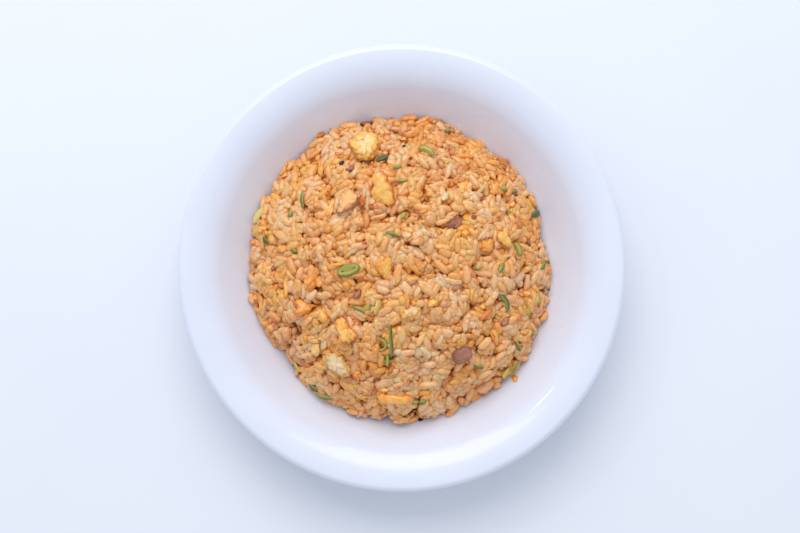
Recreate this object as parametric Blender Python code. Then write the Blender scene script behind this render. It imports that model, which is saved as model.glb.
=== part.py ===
"""A plate of fried rice: a round heap of rice with egg, pork and onion on its deep white plate.

Metres, +Z up. The origin is on the table, under the middle of the plate.
"""

import math

import bmesh
import bpy
from mathutils import Matrix, Vector, noise

MM = 0.001

# Driving dimensions
PLATE_RADIUS = 105 * MM
PLATE_THICKNESS = 4.5 * MM
FLOOR_HEIGHT = 7 * MM  # top of the plate's floor over the table
HEAP_RADIUS = 74 * MM  # where the rice meets the plate's wall
HEAP_TOP = 50 * MM  # top of the rice over the table

# The plate's section, from its floor out to its rolled lip
FLOOR_RADIUS = 50 * MM
COVE_RADIUS = 37 * MM
WALL_SLOPE = 46  # degrees
RIM_ARCH_RADIUS = 24 * MM
LIP_RADIUS = 3 * MM
LIP_EDGE_RADIUS = 2.1 * MM
FOOT_WIDTH = 4.5 * MM
FOOT_BEVEL = 0.8 * MM

# The heap
HEAP_SWEEP = 66  # degrees of arc from the middle to the edge, before it is set to its height
HEAP_WAVES = (  # lobes round the outline, their height and the azimuth of a crest in degrees
    (1, 0.8 * MM, 208),
    (2, 0.8 * MM, 113),
    (3, 0.4 * MM, 52),
    (4, 0.5 * MM, 69),
    (5, 0.4 * MM, 41),
    (9, 0.5 * MM, 35),
)
LUMP_HEIGHT = 0.9 * MM
LUMP_SPACING = 13 * MM

SEGMENTS = 64
ARC_TOLERANCE = 0.12 * MM  # how far an arc's chords may lie inside it
HEAP_ROWS = 10
BED_ROWS = 4
GAP = 0.4 * MM  # between pieces that touch
SINK = 0.15  # how much of its thickness a topping's middle lies under the rice's surface

# Toppings: place seen from above, (length, width, thickness), azimuth of the length, squareness
EGGS = {
    "egg_back": ((-17, 56), (16, 15, 7), 10, 1.0),
    "egg_upper": ((-9, 36), (17, 11, 6), 102, 1.0),
    "egg_left": ((-45, -19), (12, 9, 5), 5, 1.0),
    "egg_lower_left": ((-26, -29), (13, 8, 5), -50, 1.0),
    "egg_centre": ((-8, -1), (13, 9, 5), -70, 1.0),
    "egg_right": ((47, 13), (9, 6, 4), -60, 0.8),
    "egg_strip": ((-3, -61), (17, 5, 4), -1, 0.6),
}
PORKS = {
    "pork_slice": ((-25, 30), (15, 9, 3.5), 65, 0.6),
    "pork_upper": ((24, 21), (9, 6.5, 4.5), 30, 0.7),
    "pork_right": ((28, -40), (10, 8, 5), 20, 0.6),
}
ONIONS = {
    "onion_centre": ((5, -21), (12, 9, 6), 75, 0.8),
    "onion_lower_left": ((-30, -45), (15, 10, 5), -60, 0.8),
}
SCALLION_PLACE = (-24, -1)
SCALLION_SIZE = (11, 5.5, 3)
SCALLION_TURN = 15
SCALLION_WALL = 1.5 * MM
LUMP_SEGMENTS = 10
LUMP_RINGS = 7
RAGGEDNESS = {"egg": 0.22, "pork": 0.08, "onion": 0.07}

# Materials: colour, roughness, metallic
GLAZE = ((0.84, 0.86, 0.93), 0.12, 0.0)
RICE = ((0.63, 0.33, 0.14), 0.45, 0.0)
EGG = ((0.93, 0.50, 0.12), 0.5, 0.0)
PORK = ((0.36, 0.16, 0.11), 0.5, 0.0)
ONION = ((0.80, 0.62, 0.40), 0.3, 0.0)
SCALLION = ((0.20, 0.40, 0.06), 0.35, 0.0)


def clear_scene():
    """Remove every object that the scene starts with."""
    for old in list(bpy.data.objects):
        bpy.data.objects.remove(old)


def make_material(name, look):
    """A Principled material of one colour, roughness and metallic value."""
    colour, roughness, metallic = look
    material = bpy.data.materials.new(name)
    material.use_nodes = True
    shader = material.node_tree.nodes["Principled BSDF"]
    shader.inputs["Base Color"].default_value = (*colour, 1.0)
    shader.inputs["Roughness"].default_value = roughness
    shader.inputs["Metallic"].default_value = metallic
    return material


def add_object(name, mesh_builder, material):
    """Make a mesh object, with its faces pointing out, from a bmesh."""
    bmesh.ops.recalc_face_normals(mesh_builder, faces=mesh_builder.faces)
    mesh = bpy.data.meshes.new(name)
    mesh_builder.to_mesh(mesh)
    mesh_builder.free()
    mesh.materials.append(material)
    mesh.shade_smooth()
    mesh.set_sharp_from_angle(angle=math.radians(40))
    made = bpy.data.objects.new(name, mesh)
    bpy.context.scene.collection.objects.link(made)
    return made


def trace(radius, height, heading, steps):
    """Points (radius, height, heading) along runs and arcs, from a starting point.

    A step is (length, 0) for a straight run, or (radius of the arc, turn in degrees).
    """
    points = [(radius, height, heading)]
    for reach, turn in steps:
        widest = 2 * math.acos(1 - ARC_TOLERANCE / reach)
        pieces = max(1, math.ceil(math.radians(abs(turn)) / widest))
        for _ in range(pieces):
            bend = math.radians(turn) / pieces
            run = 2 * reach * math.sin(abs(bend) / 2) if turn else reach
            radius += run * math.cos(heading + bend / 2)
            height += run * math.sin(heading + bend / 2)
            heading += bend
            points.append((radius, height, heading))
    return points


def top_profile():
    """The plate's upper side, from the edge of its flat floor to the outside of its lip."""
    slope = math.radians(WALL_SLOPE)
    curved = (COVE_RADIUS + RIM_ARCH_RADIUS) * math.sin(slope) + LIP_RADIUS
    wall = (PLATE_RADIUS - FLOOR_RADIUS - curved) / math.cos(slope)
    steps = (
        (COVE_RADIUS, WALL_SLOPE),
        (wall, 0),
        (RIM_ARCH_RADIUS, -WALL_SLOPE),
        (LIP_RADIUS, -90),
    )
    return trace(FLOOR_RADIUS, FLOOR_HEIGHT, 0.0, steps)


def plate_profile():
    """The plate's whole section, from the axis along the top, round the lip and back below."""
    top = top_profile()
    lip = trace(*top[-1], [(LIP_EDGE_RADIUS, -90)])[1:]
    foot_outside = FLOOR_RADIUS + FOOT_WIDTH
    last_under = PLATE_RADIUS - LIP_RADIUS
    below = []
    for radius, height, heading in reversed(top):
        under_radius = radius + PLATE_THICKNESS * math.sin(heading)
        under_height = height - PLATE_THICKNESS * math.cos(heading)
        if foot_outside < under_radius < last_under and heading >= 0:
            below.append((under_radius, under_height))
    under_floor = FLOOR_HEIGHT - PLATE_THICKNESS
    foot = [
        (foot_outside, under_floor),
        (foot_outside, FOOT_BEVEL),
        (foot_outside - FOOT_BEVEL, 0.0),
        (FLOOR_RADIUS + FOOT_BEVEL, 0.0),
        (FLOOR_RADIUS, FOOT_BEVEL),
        (FLOOR_RADIUS, under_floor),
    ]
    upper = [(radius, height) for radius, height, _ in top + lip]
    return [(0.0, FLOOR_HEIGHT)] + upper + below + foot + [(0.0, under_floor)]


def revolve(rows):
    """A closed bmesh from rings of points, whose first and last rows are single points."""
    builder = bmesh.new()
    rings = [[builder.verts.new(point) for point in row] for row in rows]
    for upper, lower in zip(rings, rings[1:]):
        for index in range(SEGMENTS):
            following = (index + 1) % SEGMENTS
            corners = [upper[index % len(upper)], lower[index % len(lower)]]
            if len(lower) > 1:
                corners.append(lower[following])
            if len(upper) > 1:
                corners.append(upper[following])
            builder.faces.new(corners)
    return builder


def make_plate(material):
    """The deep plate with its arched rim, rolled lip and foot ring."""
    rows = []
    for radius, height in plate_profile():
        if radius == 0.0:
            rows.append([Vector((0.0, 0.0, height))])
        else:
            rows.append([at_azimuth(azimuth, radius, height) for azimuth in azimuths()])
    return add_object("plate", revolve(rows), material)


def azimuths():
    """The azimuths of the facets' edges round a turned piece."""
    return [math.tau * index / SEGMENTS for index in range(SEGMENTS)]


def at_azimuth(azimuth, radius, height):
    return Vector((radius * math.cos(azimuth), radius * math.sin(azimuth), height))


def well_height(radius):
    """Height of the plate's upper side at a radius inside its lip."""
    points = [(0.0, FLOOR_HEIGHT)] + [(r, z) for r, z, _ in top_profile()]
    for (inner, low), (outer, high) in zip(points, points[1:]):
        if inner <= radius <= outer:
            return low + (high - low) * (radius - inner) / (outer - inner)
    return points[-1][1]


def edge_radius(azimuth):
    """How far the heap reaches at an azimuth."""
    waves = (
        height * math.cos(lobes * (azimuth - math.radians(crest)))
        for lobes, height, crest in HEAP_WAVES
    )
    return HEAP_RADIUS + sum(waves)


def heap_point(azimuth, share):
    """A point of the heap's top, a share of the way from its middle to its edge."""
    sweep = math.radians(HEAP_SWEEP)
    edge = edge_radius(azimuth)
    foot = well_height(edge) + GAP
    rise = (math.cos(share * sweep) - math.cos(sweep)) / (1 - math.cos(sweep))
    radius = edge * math.sin(share * sweep) / math.sin(sweep)
    place = at_azimuth(azimuth, radius, 0.0) / LUMP_SPACING
    lump = LUMP_HEIGHT * noise.noise(place) * (1 - share**4)
    return at_azimuth(azimuth, radius, foot + (HEAP_TOP - foot) * rise + lump)


def heap_surface(x, y):
    """The point of the heap's top over a place on the table."""
    azimuth = math.atan2(y, x)
    sweep = math.radians(HEAP_SWEEP)
    part = math.hypot(x, y) / edge_radius(azimuth)
    return heap_point(azimuth, math.asin(part * math.sin(sweep)) / sweep)


def make_heap(material):
    """The rice: a moulded dome with an uneven outline, which rests in the plate's well."""
    rows = [[heap_point(0.0, 0.0)]]
    for row in range(1, HEAP_ROWS + 1):
        share = row / HEAP_ROWS
        rows.append([heap_point(azimuth, share) for azimuth in azimuths()])
    for row in range(1, BED_ROWS):
        share = 1 - row / BED_ROWS
        ring = []
        for azimuth in azimuths():
            radius = edge_radius(azimuth) * share
            ring.append(at_azimuth(azimuth, radius, well_height(radius) + GAP))
        rows.append(ring)
    rows.append([Vector((0.0, 0.0, FLOOR_HEIGHT + GAP))])
    return add_object("rice", revolve(rows), material)


def seat(place, turn, thickness):
    """Frame of a topping that lies on the rice: its length along turn, its up along the slope's normal."""
    x, y = (value * MM for value in place)
    step = 2 * MM
    spot = heap_surface(x, y)
    across = heap_surface(x + step, y) - heap_surface(x - step, y)
    along = heap_surface(x, y + step) - heap_surface(x, y - step)
    up = across.cross(along).normalized()
    heading = Vector((math.cos(math.radians(turn)), math.sin(math.radians(turn)), 0.0))
    length = (heading - up * heading.dot(up)).normalized()
    frame = Matrix((length, up.cross(length), up)).transposed().to_4x4()
    frame.translation = spot - up * thickness * SINK
    return frame


def softened(value, squareness):
    """A sine or cosine whose curve bulges towards a square's as squareness goes below 1."""
    return math.copysign(abs(value) ** squareness, value)


def lump(size, squareness, raggedness, seed, margin=0.0):
    """A ragged rounded piece, margin bigger all round."""
    builder = bmesh.new()
    bmesh.ops.create_uvsphere(
        builder, u_segments=LUMP_SEGMENTS, v_segments=LUMP_RINGS, radius=1.0
    )
    half = [side * MM / 2 + margin for side in size]
    for vertex in builder.verts:
        direction = vertex.co.copy()
        ragged = 1 + raggedness * noise.noise(direction * 1.7 + Vector((seed, 0, 0)))
        vertex.co = Vector(
            softened(direction[axis], squareness) * half[axis] * ragged for axis in range(3)
        )
    bmesh.ops.triangulate(builder, faces=builder.faces, quad_method="FIXED")
    return builder


def onion_ring(size, wall):
    """A short oval ring cut from a green stalk."""
    length, width, height = (side * MM for side in size)
    builder = bmesh.new()
    sections = []
    for step in range(LUMP_SEGMENTS * 2):
        angle = math.pi * step / LUMP_SEGMENTS
        section = []
        for inset, level in ((0, -0.5), (0, 0.5), (wall, 0.5), (wall, -0.5)):
            reach = Vector((length / 2 - inset, width / 2 - inset, level * height))
            turned = Vector((reach.x * math.cos(angle), reach.y * math.sin(angle), reach.z))
            section.append(builder.verts.new(turned))
        sections.append(section)
    for step, section in enumerate(sections):
        following = sections[(step + 1) % len(sections)]
        for side in range(4):
            other = (side + 1) % 4
            builder.faces.new((section[side], section[other], following[other], following[side]))
    return builder


def carve(heap, name, builder, frame):
    """Cut a topping's seat out of the rice."""
    cutter = add_object(name + "_seat", builder, heap.data.materials[0])
    cutter.matrix_world = frame
    cutter.hide_render = True
    cutter.display_type = "WIRE"
    cut = heap.modifiers.new(name + "_seat", "BOOLEAN")
    cut.operation = "DIFFERENCE"
    cut.solver = "EXACT"
    cut.object = cutter


def place_toppings(heap, kind, toppings, material):
    """Ragged pieces of one kind, each in its own seat in the rice."""
    for order, (name, (place, size, turn, squareness)) in enumerate(toppings.items()):
        frame = seat(place, turn, size[2] * MM)
        seed = 10.0 * len(kind) + 3.0 * order
        ragged = RAGGEDNESS[kind]
        piece = add_object(name, lump(size, squareness, ragged, seed), material)
        piece.matrix_world = frame
        cutter = lump(size, squareness, ragged, seed, margin=1.5 * GAP)
        carve(heap, name, cutter, frame)


def place_scallion(heap, material):
    """The slice of green onion that lies on the left of the heap."""
    frame = seat(SCALLION_PLACE, SCALLION_TURN, SCALLION_SIZE[2] * MM)
    ring = add_object("scallion_left", onion_ring(SCALLION_SIZE, SCALLION_WALL), material)
    ring.matrix_world = frame
    carve(heap, "scallion_left", lump(SCALLION_SIZE, 0.7, 0.0, 0.0, margin=2.5 * GAP), frame)


def main():
    clear_scene()
    make_plate(make_material("porcelain", GLAZE))
    heap = make_heap(make_material("rice", RICE))
    place_toppings(heap, "egg", EGGS, make_material("egg", EGG))
    place_toppings(heap, "pork", PORKS, make_material("pork", PORK))
    place_toppings(heap, "onion", ONIONS, make_material("onion", ONION))
    place_scallion(heap, make_material("scallion", SCALLION))


main()
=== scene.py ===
"""The looks of the fried rice plate: real grains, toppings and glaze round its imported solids.

Metres, +Z up, with the origin on the table under the middle of the plate.
"""

import math

import bpy
import numpy as np
from mathutils import Matrix, Vector, noise
from mathutils.bvhtree import BVHTree


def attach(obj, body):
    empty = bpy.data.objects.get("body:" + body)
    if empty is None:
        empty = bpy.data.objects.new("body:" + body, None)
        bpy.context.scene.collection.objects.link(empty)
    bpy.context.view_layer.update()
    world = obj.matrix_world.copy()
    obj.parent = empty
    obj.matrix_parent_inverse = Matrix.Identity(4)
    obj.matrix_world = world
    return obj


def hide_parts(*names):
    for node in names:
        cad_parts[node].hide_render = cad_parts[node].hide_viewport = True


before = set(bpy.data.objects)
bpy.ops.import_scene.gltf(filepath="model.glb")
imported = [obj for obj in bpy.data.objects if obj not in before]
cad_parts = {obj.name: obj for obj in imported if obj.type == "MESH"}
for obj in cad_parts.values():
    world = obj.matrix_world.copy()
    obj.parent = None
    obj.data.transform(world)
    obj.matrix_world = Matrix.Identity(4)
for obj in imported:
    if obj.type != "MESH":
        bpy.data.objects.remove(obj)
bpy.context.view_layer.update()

MM = 0.001

# The plate's section and the heap's form, as in the solids
PLATE_RADIUS = 105 * MM
PLATE_THICKNESS = 4.5 * MM
FLOOR_HEIGHT = 7 * MM
FLOOR_RADIUS = 50 * MM
COVE_RADIUS = 37 * MM
WALL_SLOPE = 46
RIM_ARCH_RADIUS = 24 * MM
LIP_RADIUS = 3 * MM
LIP_EDGE_RADIUS = 2.1 * MM
FOOT_WIDTH = 4.5 * MM
FOOT_BEVEL = 0.8 * MM
HEAP_RADIUS = 74 * MM
HEAP_TOP = 50 * MM
HEAP_SWEEP = 66
HEAP_WAVES = (
    (1, 0.8 * MM, 208),
    (2, 0.8 * MM, 113),
    (3, 0.4 * MM, 52),
    (4, 0.5 * MM, 69),
    (5, 0.4 * MM, 41),
    (9, 0.5 * MM, 35),
)
LUMP_HEIGHT = 0.9 * MM
LUMP_SPACING = 13 * MM

PLATE_SEGMENTS = 192
ARC_STEP = 4  # degrees

# The map of the heap's surface that the grains are packed under
MAP_STEP = 1 * MM
MAP_HALF = 84 * MM
EDGE_INSET = 1.0 * MM  # how far inside its outline the surface starts to fall
EDGE_FALL = 1.6  # how steeply the surface goes on falling outside the outline
HOLLOW_DEPTH = 2.2 * MM
HOLLOW_SPACING = 8 * MM
CREVICE_DEPTH = 3.4 * MM
CREVICE_SPACING = 15 * MM
CREVICE_SHARE = 0.16  # how far from its zero lines the noise still makes a crevice

# Rice: half length, half width and half thickness of a cooked grain
GRAIN_HALF = np.array((4.0, 1.9, 1.6)) * MM
GRAIN_SPREAD = np.array((0.14, 0.11, 0.11))
GRAIN_COUNT = 4300
GRAIN_RINGS = 7
GRAIN_SIDES = 10
GRAIN_FORMS = 24
SHELL = 8.5 * MM  # how deep the real grains lie under the heap's surface
CORE_RADIUS = 70 * MM
CORE_DEPTH = 2.2 * MM  # how far under it the core's top lies, in among the grains
CORE_CLEAR = (0.3 * MM, 0.15 * MM, 0.2 * MM)  # its top, lower edge and underside off the plate
CORE_RINGS = 60
CORE_SIDES = 180
SCATTER_DEPTH = 1.4 * MM  # the least depth that a grain is scattered at
SCATTER_CLEAR = 1.2 * MM  # the least height over the plate that it is scattered at
GRAIN_RISE = (0.0 * MM, 0.4 * MM)  # how far grains stand over the heap's surface, and spread
EDGE_RISE = 0.9 * MM  # spread of that, added towards the foot of the heap
BROKEN_SHARE = 0.16
BROKEN_LENGTH = (0.45, 0.8)  # what is left of a broken grain, least and most
FLAT_SHARE = 0.62  # how much of a grain's slant to the surface is taken away
ROLL_SPREAD = 0.6  # radians
BALL_SHARES = np.array((0.55, 0.68, 0.55))  # a grain's three balls, by its half girth
PACK_STEPS = 110
PACK_PRESS = 0.05 * MM  # how far a step presses the grains towards the surface
GRAIN_GIVE = 0.45  # the share of an overlap with grains, walls or toppings given way to in a step
WALL_GIVE = 0.6
TOPPING_GIVE = 0.8
PAIR_STEPS = 6  # steps between searches for what is near enough to touch
NEAR_GRAINS = 4.4 * MM
NEAR_TOPPINGS = 4 * MM


# ---------------------------------------------------------------- plate


def trace(radius, height, heading, steps):
    """Points (radius, height, heading) along runs and arcs, as in the solids but finer."""
    points = [(radius, height, heading)]
    for reach, turn in steps:
        pieces = max(1, math.ceil(abs(turn) / ARC_STEP))
        for _ in range(pieces):
            bend = math.radians(turn) / pieces
            run = 2 * reach * math.sin(abs(bend) / 2) if turn else reach
            radius += run * math.cos(heading + bend / 2)
            height += run * math.sin(heading + bend / 2)
            heading += bend
            points.append((radius, height, heading))
    return points


def top_profile():
    """The plate's upper side, from the edge of its flat floor to the outside of its lip."""
    slope = math.radians(WALL_SLOPE)
    curved = (COVE_RADIUS + RIM_ARCH_RADIUS) * math.sin(slope) + LIP_RADIUS
    wall = (PLATE_RADIUS - FLOOR_RADIUS - curved) / math.cos(slope)
    steps = (
        (COVE_RADIUS, WALL_SLOPE),
        (wall, 0),
        (RIM_ARCH_RADIUS, -WALL_SLOPE),
        (LIP_RADIUS, -90),
    )
    return trace(FLOOR_RADIUS, FLOOR_HEIGHT, 0.0, steps)


def plate_profile():
    """The plate's whole section, from the axis along the top, round the lip and back below."""
    top = top_profile()
    lip = trace(*top[-1], [(LIP_EDGE_RADIUS, -90)])[1:]
    foot_outside = FLOOR_RADIUS + FOOT_WIDTH
    last_under = PLATE_RADIUS - LIP_RADIUS
    below = []
    for radius, height, heading in reversed(top):
        under_radius = radius + PLATE_THICKNESS * math.sin(heading)
        under_height = height - PLATE_THICKNESS * math.cos(heading)
        if foot_outside < under_radius < last_under and heading >= 0:
            below.append((under_radius, under_height))
    under_floor = FLOOR_HEIGHT - PLATE_THICKNESS
    foot = [
        (foot_outside, under_floor),
        (foot_outside, FOOT_BEVEL),
        (foot_outside - FOOT_BEVEL, 0.0),
        (FLOOR_RADIUS + FOOT_BEVEL, 0.0),
        (FLOOR_RADIUS, FOOT_BEVEL),
        (FLOOR_RADIUS, under_floor),
    ]
    upper = [(radius, height) for radius, height, _ in top + lip]
    inner_floor = [(FLOOR_RADIUS * share, FLOOR_HEIGHT) for share in (0.35, 0.7)]
    inner_under = [(FLOOR_RADIUS * share, under_floor) for share in (0.7, 0.35)]
    return (
        [(0.0, FLOOR_HEIGHT)] + inner_floor + upper + below + foot + inner_under
        + [(0.0, under_floor)]
    )


def well_reading(radius, column):
    """A column of the top profile, read at each radius inside the plate's lip."""
    points = np.array([(0.0, FLOOR_HEIGHT, 0.0)] + top_profile())
    inside = points[points[:, 2] >= 0]
    return np.interp(radius, inside[:, 0], inside[:, column])


def well_height(radius):
    """Height of the plate's upper side at each radius inside its lip."""
    return well_reading(radius, 1)


def well_slope(radius):
    """Slope angle of the plate's upper side at each radius inside its lip."""
    return well_reading(radius, 2)


def make_plate():
    """The plate turned finely from the solid's section."""
    profile = plate_profile()
    points, rings = [], []
    for radius, height in profile:
        count = 1 if radius == 0.0 else PLATE_SEGMENTS
        rings.append(range(len(points), len(points) + count))
        for index in range(count):
            angle = math.tau * index / count
            points.append((radius * math.cos(angle), radius * math.sin(angle), height))
    faces = faces_between(rings, PLATE_SEGMENTS)
    return add_piece("plate_glazed", np.array(points), faces, smooth_angle=35)


# ---------------------------------------------------------------- meshes


def add_piece(name, points, faces, smooth_angle=None):
    """A mesh object from its points and faces, smooth but for edges sharper than an angle."""
    mesh = bpy.data.meshes.new(name)
    mesh.from_pydata(points, [], faces)
    mesh.shade_smooth()
    if smooth_angle is not None:
        mesh.set_sharp_from_angle(angle=math.radians(smooth_angle))
    piece = bpy.data.objects.new(name, mesh)
    bpy.context.scene.collection.objects.link(piece)
    return piece


def faces_between(rings, sides):
    """Faces between rings of numbered points, of which a ring of one point is a pole."""
    faces = []
    for upper, lower in zip(rings, rings[1:]):
        for index in range(sides):
            following = (index + 1) % sides
            corners = [upper[index % len(upper)], lower[index % len(lower)]]
            if len(lower) > 1:
                corners.append(lower[following])
            if len(upper) > 1:
                corners.append(upper[following])
            faces.append(corners)
    return faces


def ball_faces(rings, sides, closed=False):
    """Triangles of rings of points between two poles, which come last, or closed to a loop."""
    count = rings * sides
    faces = []
    for ring in range(rings if closed else rings - 1):
        for side in range(sides):
            here = ring * sides + side
            following = ring * sides + (side + 1) % sides
            there, beyond = (here + sides) % count, (following + sides) % count
            faces.append((here, following, beyond))
            faces.append((here, beyond, there))
    if closed:
        return np.array(faces)
    top = count - sides
    for side in range(sides):
        following = (side + 1) % sides
        faces.append((count, following, side))
        faces.append((count + 1, top + side, top + following))
    return np.array(faces)


def ball_corners(rings, sides):
    """Where each corner of a ball's triangles lies on its map: round by along, from 0 to 1."""
    heights = np.arange(1, rings + 1) / (rings + 1)
    corners = []
    for low, high in zip(heights, heights[1:]):
        for side in range(sides):
            left, right = side / sides, (side + 1) / sides
            corners.append(((left, low), (right, low), (right, high)))
            corners.append(((left, low), (right, high), (left, high)))
    for side in range(sides):
        left, right = side / sides, (side + 1) / sides
        middle = (left + right) / 2
        corners.append(((middle, 0), (right, heights[0]), (left, heights[0])))
        corners.append(((middle, 1), (left, heights[-1]), (right, heights[-1])))
    return np.array(corners)


def add_cells(piece, count, corners):
    """Give each of a piece's equal balls its own square of the map for baked colours."""
    across = math.ceil(math.sqrt(count))
    cell = np.arange(count)
    square = np.stack((cell % across, cell // across), 1)[:, None, None]
    layer = piece.data.uv_layers.new(name="OFBake")
    layer.data.foreach_set("uv", ((square + 0.05 + 0.9 * corners) / across).ravel())


def ball_grid(rings, sides):
    """Along and round coordinates of a ball's points: along in -1..1, round in radians."""
    along = -np.cos(np.linspace(0, np.pi, rings + 2)[1:-1])
    around = np.arange(sides) * math.tau / sides
    along_grid = np.append(np.repeat(along, sides), (-1.0, 1.0))
    around_grid = np.append(np.tile(around, rings), (0.0, 0.0))
    return along_grid, around_grid


def noise_at(points, scale, seed):
    """Smooth noise of about -1..1 at each point."""
    shift = Vector((seed * 7.31, seed * 3.17, seed * 5.71))
    return np.array([noise.noise(Vector(point) * scale + shift) for point in points])


def unit(vectors):
    """Each of an array's vectors at a length of one."""
    return vectors / np.linalg.norm(vectors, axis=-1, keepdims=True)


# ---------------------------------------------------------------- heap surface


def outline_radius(azimuth):
    """Radius of the heap's foot in each direction."""
    radius = np.full_like(azimuth, HEAP_RADIUS)
    for lobes, height, crest in HEAP_WAVES:
        radius += height * np.cos(lobes * (azimuth - math.radians(crest)))
    return radius


class HeapSurface:
    """The heap's top as a map of heights and normals over the table."""

    def __init__(self):
        places = np.arange(-MAP_HALF, MAP_HALF + MAP_STEP / 2, MAP_STEP)
        x, y = np.meshgrid(places, places, indexing="ij")
        radius = np.hypot(x, y)
        edge = outline_radius(np.arctan2(y, x))
        foot = well_height(edge)
        sweep = math.radians(HEAP_SWEEP)
        angle = np.arcsin(np.minimum(radius / edge, 1) * math.sin(sweep))
        rise = (np.cos(angle) - math.cos(sweep)) / (1 - math.cos(sweep))
        ground = np.stack((x.ravel(), y.ravel(), np.zeros(x.size)), 1)
        lumps, hollows, clumps = (
            noise_at(ground, 1 / spacing, seed).reshape(x.shape)
            for spacing, seed in ((LUMP_SPACING, 0.0), (HOLLOW_SPACING, 8.0), (CREVICE_SPACING, 2.0))
        )
        height = foot + (HEAP_TOP - foot) * rise
        height += LUMP_HEIGHT * lumps * (1 - (angle / sweep) ** 4)
        height -= HOLLOW_DEPTH * np.maximum(hollows, 0)
        height -= CREVICE_DEPTH * np.maximum(1 - np.abs(clumps) / CREVICE_SHARE, 0)
        height -= EDGE_FALL * np.maximum(radius - edge + EDGE_INSET, 0)
        slope_x, slope_y = np.gradient(height, MAP_STEP)
        normals = unit(np.stack((-slope_x, -slope_y, np.ones_like(height)), -1))
        self.table = np.concatenate((height[..., None], normals), -1)

    def at(self, points):
        """Height of the surface over each point, and the surface's normal there."""
        spot = (points[:, :2] + MAP_HALF) / MAP_STEP
        low = np.clip(np.floor(spot).astype(int), 0, self.table.shape[0] - 2)
        part = np.clip(spot - low, 0, 1)[..., None]
        i, j = low.T
        near = self.table[i, j] * (1 - part[:, 0]) + self.table[i + 1, j] * part[:, 0]
        far = self.table[i, j + 1] * (1 - part[:, 0]) + self.table[i + 1, j + 1] * part[:, 0]
        value = near * (1 - part[:, 1]) + far * part[:, 1]
        return value[:, 0], unit(value[:, 1:])

    def seat(self, place, turn, lift):
        """Frame of a topping on the surface: X along turn seen from above, Z out of the heap."""
        x, y = (value * MM for value in place)
        height, normal = self.at(np.array(((x, y, 0.0),)))
        up = (Vector(normal[0]) + Vector(TOPPING_LEAN)).normalized()
        radius = math.hypot(x, y)
        if height[0] < well_height(radius):  # beyond the heap's foot, so on the plate's wall
            height[0] = well_height(radius)
            slope = well_slope(radius)
            inward = math.sin(slope)
            up = Vector((-x / radius * inward, -y / radius * inward, math.cos(slope)))
        heading = Vector((math.cos(math.radians(turn)), math.sin(math.radians(turn)), 0.0))
        length = (heading - up * heading.dot(up)).normalized()
        matrix = Matrix((length, up.cross(length), up)).transposed().to_4x4()
        matrix.translation = Vector((x, y, height[0])) + up * lift
        return matrix


# ---------------------------------------------------------------- grains of rice


def grain_form(rng):
    """Points of one cooked short grain, between -1 and 1 along each axis."""
    along, around = ball_grid(GRAIN_RINGS, GRAIN_SIDES)
    blunt = rng.uniform(2.3, 3.7)
    girth = np.sqrt(np.maximum(1 - np.abs(along) ** blunt, 0))
    girth *= 1 + rng.uniform(-0.10, 0.10) * along
    girth *= 1 - 0.035 * np.cos(4 * around + rng.uniform(0, math.tau))
    width = girth * np.cos(around)
    thickness = girth * np.sin(around)
    thickness = np.where(thickness < 0, thickness * rng.uniform(0.8, 1.0), thickness)
    notch = rng.uniform(0.15, 0.45) * np.clip((along - 0.5) / 0.5, 0, 1)
    width = np.where(width > 0, width * (1 - notch), width)
    width += rng.uniform(0.05, 0.20) * (0.35 - along**2)
    thickness += rng.uniform(-0.10, 0.14) * (0.35 - along**2)
    form = np.stack((along, width, thickness), 1)
    lumps = noise_at(form, 1.6, rng.uniform(0, 40))
    form[:, 1:] *= 1 + 0.20 * lumps[:, None]
    form *= 1 + 0.09 * noise_at(form, 3.2, rng.uniform(0, 40))[:, None]
    return form


def close_pairs(points, reach):
    """Pairs of points in the same or neighbouring cells of a grid, each pair once."""
    cell = np.floor(points / reach).astype(np.int64)
    cell -= cell.min(0) - 1
    span = cell.max(0) + 2
    key = (cell[:, 0] * span[1] + cell[:, 1]) * span[2] + cell[:, 2]
    order = np.argsort(key, kind="stable")
    keys = key[order]
    firsts, seconds = [], []
    shifts = [
        (a * span[1] + b) * span[2] + c
        for a in (-1, 0, 1) for b in (-1, 0, 1) for c in (-1, 0, 1)
    ]
    for shift in shifts[13:]:
        start = np.searchsorted(keys, keys + shift, "left")
        stop = np.searchsorted(keys, keys + shift, "right")
        if shift == 0:
            start = np.arange(len(keys)) + 1
        count = np.maximum(stop - start, 0)
        first = np.repeat(np.arange(len(keys)), count)
        steps = np.arange(count.sum()) - np.repeat(np.cumsum(count) - count, count)
        firsts.append(order[first])
        seconds.append(order[np.repeat(start, count) + steps])
    return np.concatenate(firsts), np.concatenate(seconds)


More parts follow.
